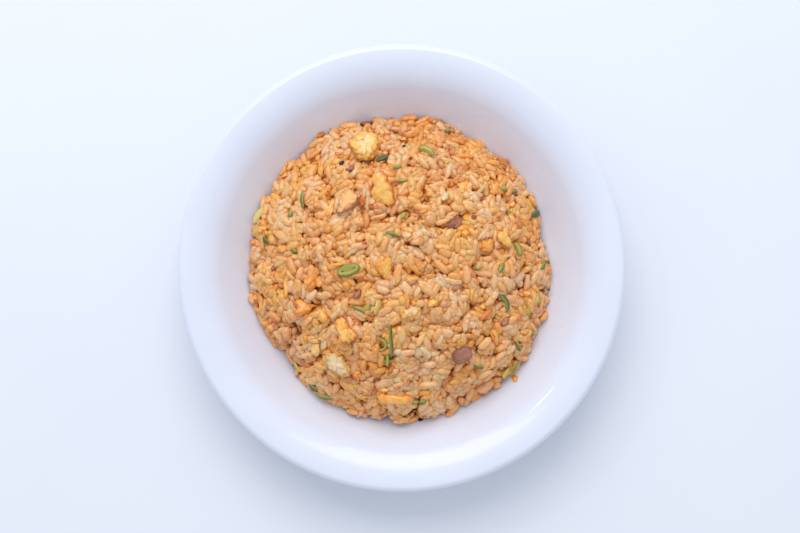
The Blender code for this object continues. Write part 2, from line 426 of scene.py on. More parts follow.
class Packing:
    """Grains, each three balls on a line, pressed from inside against the heap's surface."""

    def __init__(self, surface, toppings, rng):
        self.surface = surface
        self.middles, self.axes, self.halves = (np.array(part) for part in zip(*toppings))
        count = GRAIN_COUNT
        self.half = GRAIN_HALF * (1 + GRAIN_SPREAD * rng.standard_normal((count, 3)))
        broken = rng.random(count) < BROKEN_SHARE
        self.half[broken, 0] *= rng.uniform(*BROKEN_LENGTH, broken.sum())
        self.place = self.scattered(count, rng)
        share = np.clip(np.hypot(*self.place[:, :2].T) / HEAP_RADIUS * 5 - 4, 0, 1)
        rise = rng.normal(*GRAIN_RISE, count) + share * EDGE_RISE * rng.normal(-0.5, 1, count)
        self.rise = np.repeat(rise, 3)
        _, normal = surface.at(self.place)
        lean = rng.standard_normal((count, 3))
        lean -= FLAT_SHARE * normal * (lean * normal).sum(1, keepdims=True)
        self.axis = unit(lean)
        girth = self.half[:, 1:].mean(1)
        self.sizes = girth[:, None] * BALL_SHARES
        self.reach = (self.half[:, 0] - self.sizes[:, 0])[:, None] * np.array((-1, 0, 1))

    def scattered(self, count, rng):
        """Places all through the shell, as many to each area of its surface."""
        kept = np.empty((0, 3))
        while len(kept) < count:
            spot = rng.uniform(-HEAP_RADIUS, HEAP_RADIUS, (count * 3, 2))
            spot = spot[np.hypot(*spot.T) < HEAP_RADIUS]
            height, normal = self.surface.at(spot)
            steep = 1 / normal[:, 2]
            picked = rng.random(len(spot)) < steep / steep.max()
            depth = rng.uniform(SCATTER_DEPTH, SHELL, len(spot))[:, None]
            place = np.concatenate((spot, height[:, None]), 1) - normal * depth
            above = place[:, 2] > well_height(np.hypot(*place[:, :2].T)) + SCATTER_CLEAR
            kept = np.concatenate((kept, place[picked & above]))
        return kept[:count]

    def balls(self):
        return (self.place[:, None] + self.axis[:, None] * self.reach[:, :, None]).reshape(-1, 3)

    def near_grains(self, balls):
        """Pairs of balls near enough to touch that aren't of one grain."""
        first, second = close_pairs(balls, NEAR_GRAINS)
        keep = first // 3 != second // 3
        return first[keep], second[keep]

    def near_toppings(self, balls):
        """Pairs of a ball and a topping near enough to touch."""
        distance = np.linalg.norm(balls[:, None] - self.middles, axis=2)
        return np.nonzero(distance < self.halves.max(1) + NEAR_TOPPINGS)

    def grain_pushes(self, balls, pairs):
        """How far each ball has to give way to those that it overlaps."""
        sizes = self.sizes.ravel()
        first, second = pairs
        apart = balls[second] - balls[first]
        distance = np.linalg.norm(apart, axis=1) + 1e-9
        overlap = np.maximum(sizes[first] + sizes[second] - distance, 0)
        touching = overlap > 0
        push = apart[touching] * (overlap[touching] / distance[touching] / 2)[:, None]
        return summed(push, second[touching], len(balls)) - summed(
            push, first[touching], len(balls)
        )

    def topping_pushes(self, balls, pairs):
        """How far each ball has to give way to the toppings' ellipsoids."""
        ball, topping = pairs
        axes = self.axes[topping]
        local = np.einsum("nji,nj->ni", axes, balls[ball] - self.middles[topping])
        half = self.halves[topping] + 0.9 * self.sizes.ravel()[ball, None]
        scaled = local / half
        level = np.linalg.norm(scaled, axis=1, keepdims=True)
        out = scaled / half
        out /= np.linalg.norm(out, axis=1, keepdims=True) + 1e-9
        far = np.maximum(1 - level, 0) * half.min(1, keepdims=True)
        return summed(np.einsum("nij,nj->ni", axes, out * far), ball, len(balls))

    def wall_pushes(self, balls):
        """Pushes in from the heap's surface, out from its core, and up off the plate."""
        sizes = self.sizes.ravel()
        height, normal = self.surface.at(balls)
        depth = (height - balls[:, 2]) * normal[:, 2]
        push = -normal * np.maximum(sizes - self.rise - depth, 0)[:, None]
        push += normal * (PACK_PRESS + np.maximum(depth - SHELL, 0))[:, None]
        radius = np.hypot(balls[:, 0], balls[:, 1])
        slope = well_slope(radius)
        clear = (balls[:, 2] - well_height(radius)) * np.cos(slope)
        outward = balls[:, :2] / np.maximum(radius, 1e-6)[:, None]
        lift = np.maximum(sizes - clear, 0)
        push[:, :2] -= outward * (lift * np.sin(slope))[:, None]
        push[:, 2] += lift * np.cos(slope)
        return push

    def settle(self):
        """Let the grains give way to each other until they lie packed."""
        for step in range(PACK_STEPS):
            balls = self.balls()
            if step % PAIR_STEPS == 0:
                grains, toppings = self.near_grains(balls), self.near_toppings(balls)
            push = GRAIN_GIVE * self.grain_pushes(balls, grains)
            push += WALL_GIVE * self.wall_pushes(balls)
            push += TOPPING_GIVE * self.topping_pushes(balls, toppings)
            push = push.reshape(-1, 3, 3)
            self.place += push.mean(1)
            swing = (push * self.reach[:, :, None]).sum(1)
            swing /= (self.reach**2).sum(1, keepdims=True)
            self.axis = unit(self.axis + swing)

    def frames(self, rng):
        """Length, width and thickness directions of each grain, its flat side mostly up."""
        _, normal = self.surface.at(self.place)
        side = np.cross(normal, self.axis)
        side /= np.linalg.norm(side, axis=1, keepdims=True) + 1e-9
        up = np.cross(self.axis, side)
        roll = rng.normal(0, ROLL_SPREAD, len(side))[:, None]
        flip = np.where(rng.random(len(side)) < 0.5, -1.0, 1.0)[:, None]
        width = side * np.cos(roll) + up * np.sin(roll)
        thick = -side * np.sin(roll) + up * np.cos(roll)
        return np.stack((self.axis * flip, width * flip, thick), 2)


def summed(pushes, owners, count):
    """The pushes added up for each owner."""
    return np.stack([np.bincount(owners, push, count) for push in pushes.T], 1)


GRAIN_KINDS = (  # piece and the highest hue in it, from plain rice to rice coated in egg
    ("grains_plain", 0.30),
    ("grains_pale", 0.44),
    ("grains_tan", 0.58),
    ("grains_golden", 0.80),
    ("grains_coated", 1.0),
)
HUE_PATCH = 11 * MM
TINT_PATCHES = ((16 * MM, 0.30, 3.0), (5 * MM, 0.22, 9.0))  # spacing, share and seed
# Painted shade: grains that lie deeper between other grains are darkened, where shade falls
PAINTED_SHADE_START = 0.8 * MM  # how far in from the heap's surface the grains start to darken, as painted shade
PAINTED_SHADE_REACH = 2.0 * MM
PAINTED_SHADE_TINT = 0.8


def make_grains(packing, rng):
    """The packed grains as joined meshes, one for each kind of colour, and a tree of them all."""
    forms = [grain_form(rng) for _ in range(GRAIN_FORMS)]
    faces = ball_faces(GRAIN_RINGS, GRAIN_SIDES)
    frames = packing.frames(rng)
    choice = rng.integers(0, GRAIN_FORMS, len(packing.place))
    shapes = np.stack(forms)[choice] * packing.half[:, None, :]
    points = np.einsum("gpk,gik->gpi", shapes, frames) + packing.place[:, None, :]
    shift = np.arange(len(points))[:, None, None] * points.shape[1]
    all_faces = faces + shift
    tree = BVHTree.FromPolygons(points.reshape(-1, 3).tolist(), all_faces.reshape(-1, 3).tolist())
    hue, tint = grain_shades(packing.place, rng)
    kinds = np.digitize(hue, [limit for _, limit in GRAIN_KINDS[:-1]])
    pieces = []
    for kind, (name, _) in enumerate(GRAIN_KINDS):
        chosen = np.flatnonzero(kinds == kind)
        places = points[chosen].reshape(-1, 3)
        piece = add_piece(name, places, all_faces[: len(chosen)].reshape(-1, 3))
        # Painted shade: the deeper a grain's points lie between the grains, the darker their tint
        deep = painted_shade_share(packing.surface, places)
        add_tint(piece, np.repeat(tint[chosen], points.shape[1]) + PAINTED_SHADE_TINT * deep)
        add_cells(piece, len(chosen), ball_corners(GRAIN_RINGS, GRAIN_SIDES))
        pieces.append(piece)
    return pieces, tree


def painted_shade_share(surface, points):
    """0 for points near the heap's surface to 1 for those deep between the grains, where painted shade
    darkens them.
    """
    height, normal = surface.at(points)
    depth = (height - points[:, 2]) * normal[:, 2]
    return np.clip((depth - PAINTED_SHADE_START) / PAINTED_SHADE_REACH, 0, 1)


def grain_shades(places, rng):
    """How yellow and how brown each grain is, 0 to 1, a little more alike among neighbours."""
    hue = 0.5 + 0.11 * rng.standard_normal(len(places))
    hue += 0.65 * noise_at(places, 1 / HUE_PATCH, 6.0)
    tint = 0.45 + 0.12 * rng.standard_normal(len(places))
    for patch, share, seed in TINT_PATCHES:
        tint += share * noise_at(places, 1 / patch, seed)
    return hue, np.clip(tint, 0.12, 0.99)


def add_tint(piece, values):
    """A number for each point, which the material reads."""
    layer = piece.data.attributes.new("tint", "FLOAT", "POINT")
    layer.data.foreach_set("value", values.astype(np.float32))


def make_core(surface):
    """The inside of the heap, sauce brown darkened as painted shade, with relief as fine as grains, in
    among the real grains.
    """
    points = [(0.0, 0.0)]
    for ring in range(1, CORE_RINGS + 1):
        reach = CORE_RADIUS * math.sin(ring / CORE_RINGS * math.pi / 2)
        for side in range(CORE_SIDES):
            angle = math.tau * (side + ring % 2 / 2) / CORE_SIDES
            points.append((reach * math.cos(angle), reach * math.sin(angle)))
    flat = np.array(points)
    height, normal = surface.at(flat)
    place = np.concatenate((flat, height[:, None]), 1)
    relief = noise_at(place, 1 / (2.6 * MM), 1.0) * 0.9 * MM
    relief += noise_at(place, 1 / (7 * MM), 5.0) * 1.3 * MM
    place -= normal * (CORE_DEPTH - relief)[:, None]
    top_clear, edge_clear, middle_clear = CORE_CLEAR
    radius = np.hypot(place[:, 0], place[:, 1])
    place[:, 2] = np.maximum(place[:, 2], well_height(radius) + top_clear)
    below = place[-CORE_SIDES:].copy()
    below[:, 2] = well_height(np.hypot(below[:, 0], below[:, 1])) + edge_clear
    place = np.concatenate((place, below, ((0, 0, FLOOR_HEIGHT + middle_clear),)))
    starts = range(1, len(place) - 1, CORE_SIDES)
    rings = [[0]] + [range(start, start + CORE_SIDES) for start in starts] + [[len(place) - 1]]
    faces = []
    for first, *rest in faces_between(rings, CORE_SIDES):
        faces += [(first, *edge) for edge in zip(rest, rest[1:])]
    return add_piece("rice_core", place, np.array(faces))


# ---------------------------------------------------------------- toppings

# Plans of the pieces seen from above: overlapping discs (x, y, radius) about a middle
ROUND = ((0.0, 0.0, 1.0), (0.3, 0.25, 0.7), (-0.35, -0.2, 0.7))
PLANS = {
    "egg_back": ((0.0, 0.0, 0.9), (0.5, 0.2, 0.55), (-0.5, 0.3, 0.55), (-0.1, -0.5, 0.5)),
    "egg_upper": ((0.0, 0.0, 0.50), (0.62, 0.05, 0.42), (-0.35, 0.2, 0.6), (-0.6, -0.2, 0.4)),
    "egg_left": ((-0.1, 0.0, 0.6), (0.75, 0.1, 0.2), (-0.6, 0.4, 0.45), (-0.6, -0.5, 0.4)),
    "egg_lower_left": ((0.0, 0.0, 0.62), (-0.4, 0.35, 0.5), (0.45, -0.3, 0.5), (0.5, 0.4, 0.4)),
    "egg_centre": ((-0.15, 0.0, 0.7), (-0.35, 0.4, 0.5), (-0.35, -0.45, 0.45), (0.6, 0.0, 0.36)),
    "egg_right": ((-0.2, 0.0, 0.6), (0.35, 0.1, 0.45), (0.75, 0.1, 0.25)),
    "egg_strip": ((-0.6, 0.0, 0.40), (-0.2, 0.03, 0.40), (0.2, -0.03, 0.40), (0.6, 0.0, 0.38)),
    "pork_slice": ((0.1, 0.0, 0.75), (0.5, 0.3, 0.5), (0.5, -0.35, 0.46), (-0.75, 0.1, 0.3)),
    "pork_upper": ((0.0, 0.0, 0.6), (0.45, -0.3, 0.4), (-0.4, 0.35, 0.4)),
    "pork_right": ((0.0, 0.0, 0.85), (0.4, 0.3, 0.5), (-0.4, -0.35, 0.5), (-0.4, 0.4, 0.4)),
    "onion_centre": ((0.0, 0.0, 0.6), (0.6, 0.3, 0.4), (-0.5, 0.45, 0.35), (0.1, -0.55, 0.5)),
    "onion_lower_left": ((0.0, 0.0, 0.6), (0.55, 0.2, 0.45), (-0.55, -0.1, 0.5)),
}


def plan_reach(discs, azimuth):
    """How far the discs of a plan reach from its middle in each direction."""
    u, v, size = np.array(discs).T[:, :, None]
    distance, swing = np.hypot(u, v), azimuth - np.arctan2(v, u)
    crossing = size**2 - (distance * np.sin(swing)) ** 2
    reach = distance * np.cos(swing) + np.sqrt(np.maximum(crossing, 0))
    reach = np.where(crossing > 0, np.maximum(reach, 0.05), 0.05)
    return (reach**7).sum(0) ** (1 / 7)


def chunk(
    size, plan=ROUND, tint=0.5, edge_tint=0.3, rough=0.2, flatness=2.0, seed=0.0, fine=(9, 18)
):
    """A morsel of a given size: points, triangles and tints, deeper in tint at its edges.

    Flatness is 2 for a lump with a round section, and more for a slice.
    """
    rings, sides = fine
    along, around = ball_grid(rings, sides)
    level = np.sign(along) * np.abs(along) ** (2 / flatness)
    out = np.maximum(1 - np.abs(along) ** flatness, 0) ** (1 / flatness)
    reach = out * plan_reach(plan, around)
    points = np.stack((reach * np.cos(around), reach * np.sin(around), level), 1)
    big = noise_at(points, 1.3, seed)
    fold = np.abs(noise_at(points * (1, 1, 0.4), 2.4, seed + 4))
    crumb = noise_at(points, 6.0, seed + 9)
    creases = np.maximum(0.22 - fold, 0) / 0.22
    points *= (1 + rough * (0.9 * big - 0.9 * creases + 0.35 * crumb))[:, None]
    low, high = points.min(0), points.max(0)
    points = (2 * points - low - high) / (high - low) * np.array(size) / 2 * MM
    tints = tint + edge_tint * (out**4 - 0.35) + 0.16 * big - 0.10 * crumb
    return points, ball_faces(rings, sides), np.clip(tints, 0, 1)


def swept(path, wall, height, tint, inner_tint, closed=False, sides=8):
    """A band of leaf along a path: points, triangles and tints, with its inside's own tint."""
    count = len(path)
    if closed:
        ahead = np.roll(path, -1, 0) - np.roll(path, 1, 0)
    else:
        ahead = np.gradient(path, axis=0)
    ahead = unit(ahead)
    left = np.stack((-ahead[:, 1], ahead[:, 0], np.zeros(count)), 1)
    angle = (np.arange(sides) + 0.5) * math.tau / sides
    across = np.sign(np.cos(angle)) * np.abs(np.cos(angle)) ** 0.6
    upward = np.sign(np.sin(angle)) * np.abs(np.sin(angle)) ** 0.6
    girth = np.ones(count) if closed else np.linspace(-1, 1, count)
    girth = girth if closed else np.sqrt(np.maximum(1.02 - np.abs(girth) ** 3, 0.05))
    ring = left[:, None] * (across * wall / 2)[None, :, None]
    ring = ring + np.array((0, 0, 1)) * (upward * height / 2)[None, :, None]
    points = (path[:, None] + ring * girth[:, None, None]).reshape(-1, 3)
    tints = np.tile(np.where(across > 0, inner_tint, tint), count)
    if not closed:
        points = np.concatenate((points, path[:1], path[-1:]))
        tints = np.append(tints, (tint, tint))
    return points * MM, ball_faces(count, sides, closed), tints


def ring_path(length, width, start=0, sweep=360, count=24):
    """Places (x, y, 0) along an oval or part of one."""
    closed = sweep >= 360
    angle = np.radians(start + np.linspace(0, sweep, count + closed)[:count])
    return np.stack((length / 2 * np.cos(angle), width / 2 * np.sin(angle), 0 * angle), 1)


def seated(shape, matrix):
    """A shape of points, triangles and tints, taken to its place by a 4x4 matrix."""
    points, faces, tints = shape
    array = np.array(matrix)
    return points @ array[:3, :3].T + array[:3, 3], faces, tints


def add_shapes(name, shapes):
    """One piece joined from shapes of points, triangles and tints."""
    points, faces, tints = zip(*shapes)
    starts = np.cumsum([0] + [len(part) for part in points[:-1]])
    faces = np.concatenate([part + start for part, start in zip(faces, starts)])
    piece = add_piece(name, np.concatenate(points), faces)
    add_tint(piece, np.concatenate(tints))
    return piece


# The toppings that are solids of their own: place, size, turn, and the form that chunk takes as
# tint, edge tint, roughness and flatness
CAD_TOPPINGS = {
    "egg_back": ((-17, 56), (16, 15, 7), 10, (0.19, 0.5, 0.24, 2.4)),
    "egg_upper": ((-9, 36), (17, 11, 6), 102, (0.40, 0.4, 0.22, 2.6)),
    "egg_left": ((-45, -19), (12, 9, 5), 5, (0.60, 0.2, 0.18, 2.6)),
    "egg_lower_left": ((-26, -29), (13, 8, 5), -50, (0.44, 0.4, 0.25, 2.6)),
    "egg_centre": ((-8, -1), (13, 9, 5), -70, (0.34, 0.3, 0.25, 2.6)),
    "egg_right": ((47, 13), (9, 6, 4), -60, (0.30, 0.3, 0.18, 2.6)),
    "egg_strip": ((-3, -61), (17, 5, 4), -1, (0.42, 0.2, 0.12, 2.6)),
    "pork_slice": ((-25, 30), (15, 9, 3.5), 65, (0.10, 0.2, 0.3, 3.4)),
    "pork_upper": ((24, 21), (9, 6.5, 4.5), 30, (0.46, 0.2, 0.25, 3.0)),
    "pork_right": ((28, -40), (10, 8, 5), 20, (0.50, 0.2, 0.16, 3.0)),
    "onion_centre": ((5, -21), (12, 9, 6), 75, (0.55, 0.5, 0.25, 3.2)),
    "onion_lower_left": ((-30, -45), (15, 10, 5), -60, (0.36, 0.8, 0.28, 2.6)),
}
TOPPING_LEAN = (0.0, 0.2, 0.25)  # what's added to the surface's normal under a topping
TOPPING_LIFT = 0.24  # share of its thickness that a topping's middle stands over the surface
SCALLION_PLACE = (-24, -1)
SCALLION_SIZE = (11, 5.5, 3)
SCALLION_TURN = 15
SCALLION_WALL = 2.0

YOLK_SPOT = ((-18.5, 59), (7, 6, 3), 20, 0.32)  # on top of egg_back: place, size, turn, tint
YOLK_LIFT = 1.45  # this and the next two, like TOPPING_LIFT, are shares of the thickness
BIT_LIFT = 0.05
BAND_LIFT = 0.35

# Smaller pieces: x, y, length, width, turn and tint
EGG_BITS = (
    (29, 38, 8.5, 4.7, 60, 0.35), (13, 34, 5.2, 3.3, 0, 0.6), (29, 16, 3.8, 3.8, 0, 0.4),
    (39, 10, 9, 7, 0, 0.6), (32, -12, 7.5, 2.3, 80, 0.5), (37, -18, 3.8, 3.3, 0, 0.4),
    (26, -28, 5.6, 3.3, 0, 0.6), (24, -33, 4.7, 3.3, 45, 0.6), (44, -32, 8.5, 2.8, 100, 0.5),
    (14, -16, 6.1, 3.8, 20, 0.4), (8, -34, 4.2, 2.3, -20, 0.5), (-21, -50, 7, 5.2, 90, 0.62),
    (-35, -39, 5.6, 4.2, 0, 0.7), (-40, -38, 7, 4.7, 80, 0.1), (-54, -9, 11.8, 2.8, 95, 0.42),
    (-67, -18, 10.3, 2.3, 75, 0.5), (-72, -4, 3.3, 2.8, 0, 0.5), (-61, -37, 3.8, 2.8, 0, 0.5),
    (-19, -5, 7, 2.3, -10, 0.85), (2, -1, 5.6, 4.2, -30, 0.62), (-5, -47, 6.6, 3.3, 60, 0.85),
    (-39, 64, 4.7, 3.8, 0, 0.62), (-45, 50, 4.2, 3.3, 0, 0.5), (-56, 44, 3.3, 2.8, 0, 0.5),
    (-52, 35, 3.3, 2.8, 0, 0.5), (-38, 46, 8, 3.8, 100, 0.5), (-2, 69, 4.7, 3.8, 0, 0.45),
    (1, 61, 4.2, 2.8, 0, 0.5), (15, 61, 2.8, 2.3, 0, 0.5), (-7, 22, 4.2, 2.8, 0, 0.6),
    (-33, 27, 12, 4, 70, 0.45), (-67, 18, 4.2, 3.3, 0, 0.4), (-66, 11, 6.6, 2.8, 90, 0.4),
    (-56, 9, 7, 4.7, 0, 0.6), (-33, 6, 4.2, 2.8, 0, 0.5), (-8, -57, 5.6, 2.8, 0, 0.5),
    (52, 30, 3.8, 2.8, 0, 0.4), (45, 25, 3.8, 2.8, 80, 0.5), (46, 8, 5.6, 4.7, 0, 0.55),
    (-13, 28, 5, 2.6, -20, 0.95), (-18, 31, 6, 4, 60, 0.85), (54.5, -53, 4.6, 3.4, -60, 0.5),
)
SCALLION_LEAVES = (
    (67, 1, 7.5, 1.9, 50, 0.7), (53, 36, 3.8, 1.9, 30, 0.7), (-9, 51, 6.6, 3.3, 30, 0.85),
    (-2, 47, 4.7, 2.4, 0, 0.5), (-46, 32, 8.5, 1.9, -80, 0.7), (-52, 25, 2.8, 3.3, 0, 0.6),
    (-64, 13, 4.7, 2.3, -50, 0.9), (-50, 8, 4.2, 1.9, -30, 0.7), (-68, 25, 9, 4.6, 60, 0.03),
    (-4, 15, 7.5, 1.9, -10, 0.65), (-19, -19, 7.5, 1.9, -25, 0.6), (-11, -18, 7.5, 5, 80, 0.18),
    (-15, -18, 4.7, 2.8, 90, 0.45), (-42, -57, 6.5, 2.4, -35, 0.8), (-37, -61, 8.5, 2.8, 0, 0.6),
    (-50, -47, 6.6, 2.3, -55, 0.25), (50, -50, 6.5, 2.6, 55, 0.2), (54, -47, 6.6, 1.9, 60, 0.6),
    (48, 37, 4.2, 2.8, 0, 0.5), (35, 0, 3.8, 2.4, 0, 0.5), (46, 0, 5.6, 2.3, 60, 0.6),
    (36, -46, 4.7, 2.3, -10, 0.7), (22, 65, 3.3, 2.3, 0, 0.7), (10, -63, 4.7, 2.4, 20, 0.6),
    (6, -63, 4.2, 2, 0, 0.5), (60, -21, 5.6, 2.6, 80, 0.3), (64, -15, 4.2, 2.2, 70, 0.3),
    (50, 26, 2.8, 1.9, 90, 0.6), (1, 24, 4.7, 2.2, 60, 0.4), (70, 3, 2.8, 2.8, 0, 0.7),
    (64, 26, 7.5, 3.8, 30, 0.9), (62, -31, 4.7, 1.9, 0, 0.6), (0, 40, 5.6, 2, 0, 0.55),
    (55, -37, 5.6, 1.9, -60, 0.7), (70, -10, 2.3, 2.3, 0, 0.8),
)
SCALLION_ARCS = (
    (11, 53, 8, 4, -35, 0.6), (53, 8, 7, 3, -75, 0.7), (45, -17, 10, 7, -60, 0.85),
)
SCALLION_RINGS = (
    (-9, -35, 6, 5, 20, 0.5), (-6, -41, 6.6, 3.8, 0, 0.5),
)
SCALLION_STEMS = (
    (-5, -33, 17, 1.5, 88, 0.85), (-7, -42, 7, 1.2, 65, 0.7),
)
MEAT_BITS = (
    (25, -9, 4.5, 3, 10, 0.32), (4, -7, 7, 2.2, 15, 0.35), (48, -25, 5, 3.4, 60, 0.38),
    (-17, 69, 7, 3.4, 15, 0.7), (-24, 46, 4.5, 3, -10, 0.55), (33, 23, 4, 2.6, 60, 0.7),
    (-12, -52, 4, 3, 30, 0.6), (60, 12, 4, 2.6, 80, 0.55), (-60, 0, 4, 2.6, 30, 0.5),
    (-20, -12, 5, 3.5, 40, 0.45),
)
CHARRED_BITS = (
    (9, -73, 3, 2, 10, 0.97), (-24, -69, 3, 2, 0, 0.97), (-28, 49, 3.2, 2.4, 50, 0.99),
    (1, 57, 2.2, 1.6, 40, 0.99),
)
ONION_BITS = (
    (-36, -36, 6, 4, 20, 0.4), (20, 33, 6, 4, 60, 0.4), (-2, -52, 5, 3.4, 0, 0.5),
)


class Toppings:
    """Every topping's shape in place, by the piece that it belongs to, and its ellipsoid."""

    def __init__(self, surface, rng):
        self.surface, self.rng = surface, rng
        self.shapes, self.ellipsoids = {}, []
        self.add_solids()
        self.add_bits("egg", EGG_BITS, 0.55, dict(edge_tint=0.25, rough=0.4))
        self.add_leaves()
        self.add_bits("pork", MEAT_BITS, 0.6, dict(edge_tint=0.2, rough=0.4, flatness=2.8))
        self.add_bits("pork", CHARRED_BITS, 0.8, dict(edge_tint=0.0, rough=0.3))
        self.add_bits("onion", ONION_BITS, 0.4, dict(edge_tint=0.4, rough=0.4, flatness=2.8))
        self.add_curls()

    def add_solids(self):
        """The toppings that replace solids: the lumps, the scallion ring and the spot of yolk."""
        for name, (place, size, turn, form) in CAD_TOPPINGS.items():
            shape = chunk(size, PLANS[name], *form, seed=self.rng.uniform(0, 40), fine=(18, 36))
            self.add(name, shape, place, size, turn, TOPPING_LIFT)
        length, width, height = SCALLION_SIZE
        path = ring_path(length - SCALLION_WALL, width - SCALLION_WALL, count=40)
        ring = swept(path, SCALLION_WALL, height, 0.62, 0.35, closed=True, sides=12)
        inner = ring_path(length - 3 * SCALLION_WALL, width - 2.3 * SCALLION_WALL, count=40)
        core = swept(inner, SCALLION_WALL * 0.7, height * 0.7, 0.3, 0.6, closed=True)
        for part in (ring, core):
            self.add("scallion_left", part, SCALLION_PLACE, SCALLION_SIZE, SCALLION_TURN, TOPPING_LIFT)
        place, size, turn, tint = YOLK_SPOT
        spot = chunk(size, seed=self.rng.uniform(0, 40), tint=tint, edge_tint=0.0)
        self.add("egg_back", spot, place, size, turn, YOLK_LIFT)

    def add_leaves(self):
        """Thin leaves of scallion, each bent a little."""
        for x, y, length, width, turn, tint in SCALLION_LEAVES:
            along = np.linspace(-0.5, 0.5, 9)
            sag = 0.25 * length * self.rng.uniform(-1, 1) * along**2
            path = np.stack((length * along, sag, 0.5 * np.cos(4 * along)), 1)
            self.add_band(path, width, 0.6, (x, y), turn, tint + 0.12)

    def add_curls(self):
        """Hooks, rings and stems of scallion."""
        for x, y, length, width, turn, tint in SCALLION_ARCS:
            path = ring_path(length, width, start=20, sweep=150, count=14)
            self.add_band(path, 2.4, 3.4, (x, y), turn, tint)
        for x, y, length, width, turn, tint in SCALLION_RINGS:
            self.add_band(ring_path(length, width), 1.1, 2.4, (x, y), turn, tint, closed=True)
        for x, y, length, width, turn, tint in SCALLION_STEMS:
            along = np.linspace(-0.5, 0.5, 14)
            path = np.stack((length * along, 0.6 * np.sin(4 * along), 0 * along), 1)
            self.add_band(path, width, 1.6, (x, y), turn, tint)

    def add(self, name, shape, place, size, turn, lift):
        """Seat a shape on the heap and keep the grains out of its ellipsoid."""
        matrix = self.surface.seat(place, turn, size[2] * lift * MM)
        self.shapes.setdefault(name, []).append(seated(shape, matrix))
        array = np.array(matrix)
        self.ellipsoids.append((array[:3, 3], array[:3, :3], np.array(size) / 2 * 0.88 * MM))

    def add_bits(self, kind, bits, thickness, form):
        """Small morsels of a kind, as thick as a share of their width."""
        for x, y, length, width, turn, tint in bits:
            size = (length, width, max(1.3, width * thickness))
            plan = [tuple(disc + self.rng.normal(0, 0.15, 3)) for disc in ROUND]
            seed = self.rng.uniform(0, 40)
            shape = chunk(size, plan, tint=tint, seed=seed, **form)
            turn += self.rng.normal(0, 6)
            self.add(kind + "_bits", shape, (x, y), size, turn, BIT_LIFT)

    def add_band(self, path, wall, height, place, turn, tint, closed=False):
        """A leaf, hook, ring or stem of scallion along a path."""
        shape = swept(path, wall, height, tint, tint - 0.3, closed)
        size = np.append(np.ptp(path[:, :2], axis=0) + wall, height)
        self.add("scallion_bits", shape, place, np.maximum(size, 1.2), turn, BAND_LIFT)


# Crumbs: piece, material, how many, sizes from and to, tint from and to
CRUMBS = (
    ("egg_crumbs", "egg", 320, (2.0, 5.0), (0.30, 0.75)),
    ("pork_crumbs", "pork", 40, (1.2, 2.4), (0.2, 0.55)),
    ("scallion_crumbs", "scallion", 12, (1.2, 2.4), (0.3, 0.7)),
)
CRUMB_FORMS = 12
CRUMB_PATCH = 13 * MM
CRUMB_DROP = 8 * MM  # from how far over the heap's surface a crumb's place is looked for


def make_crumbs(name, count, sizes, tints, surface, tree, rng):
    """Crumbs on the uppermost grains, straight in from the heap's surface, thicker in patches."""
    forms = []
    for _ in range(CRUMB_FORMS):
        plan = [tuple(disc + rng.normal(0, 0.2, 3)) for disc in ROUND]
        forms.append(chunk((2, 1.3, 0.6), plan, 0, 0.1, 0.5, seed=rng.uniform(0, 40), fine=(5, 9)))
    shapes = []
    while len(shapes) < count:
        x, y = rng.uniform(-HEAP_RADIUS, HEAP_RADIUS, 2)
        height, normal = surface.at(np.array(((x, y, 0.0),)))
        up = Vector(normal[0])
        crowd = 0.5 + noise.noise(Vector((x, y, len(name) * MM)) / CRUMB_PATCH)
        if math.hypot(x, y) > HEAP_RADIUS or rng.random() * up.z > crowd:
            continue
        start = Vector((x, y, height[0])) + up * CRUMB_DROP
        spot, facing, _, _ = tree.ray_cast(start, -up)
        if spot is None:
            continue
        size = rng.uniform(*sizes) ** rng.uniform(0.6, 1) / 2
        turn = facing.to_track_quat("Z", "Y").to_matrix().to_4x4()
        turn = turn @ Matrix.Rotation(rng.uniform(0, math.tau), 4, "Z")
        place = Matrix.Translation(spot + facing * size * 0.1 * MM) @ turn @ Matrix.Scale(size, 4)
        points, faces, shades = forms[rng.integers(CRUMB_FORMS)]
        shapes.append(seated((points, faces, shades + rng.uniform(*tints)), place))
    return add_shapes(name, shapes)


# ---------------------------------------------------------------- materials


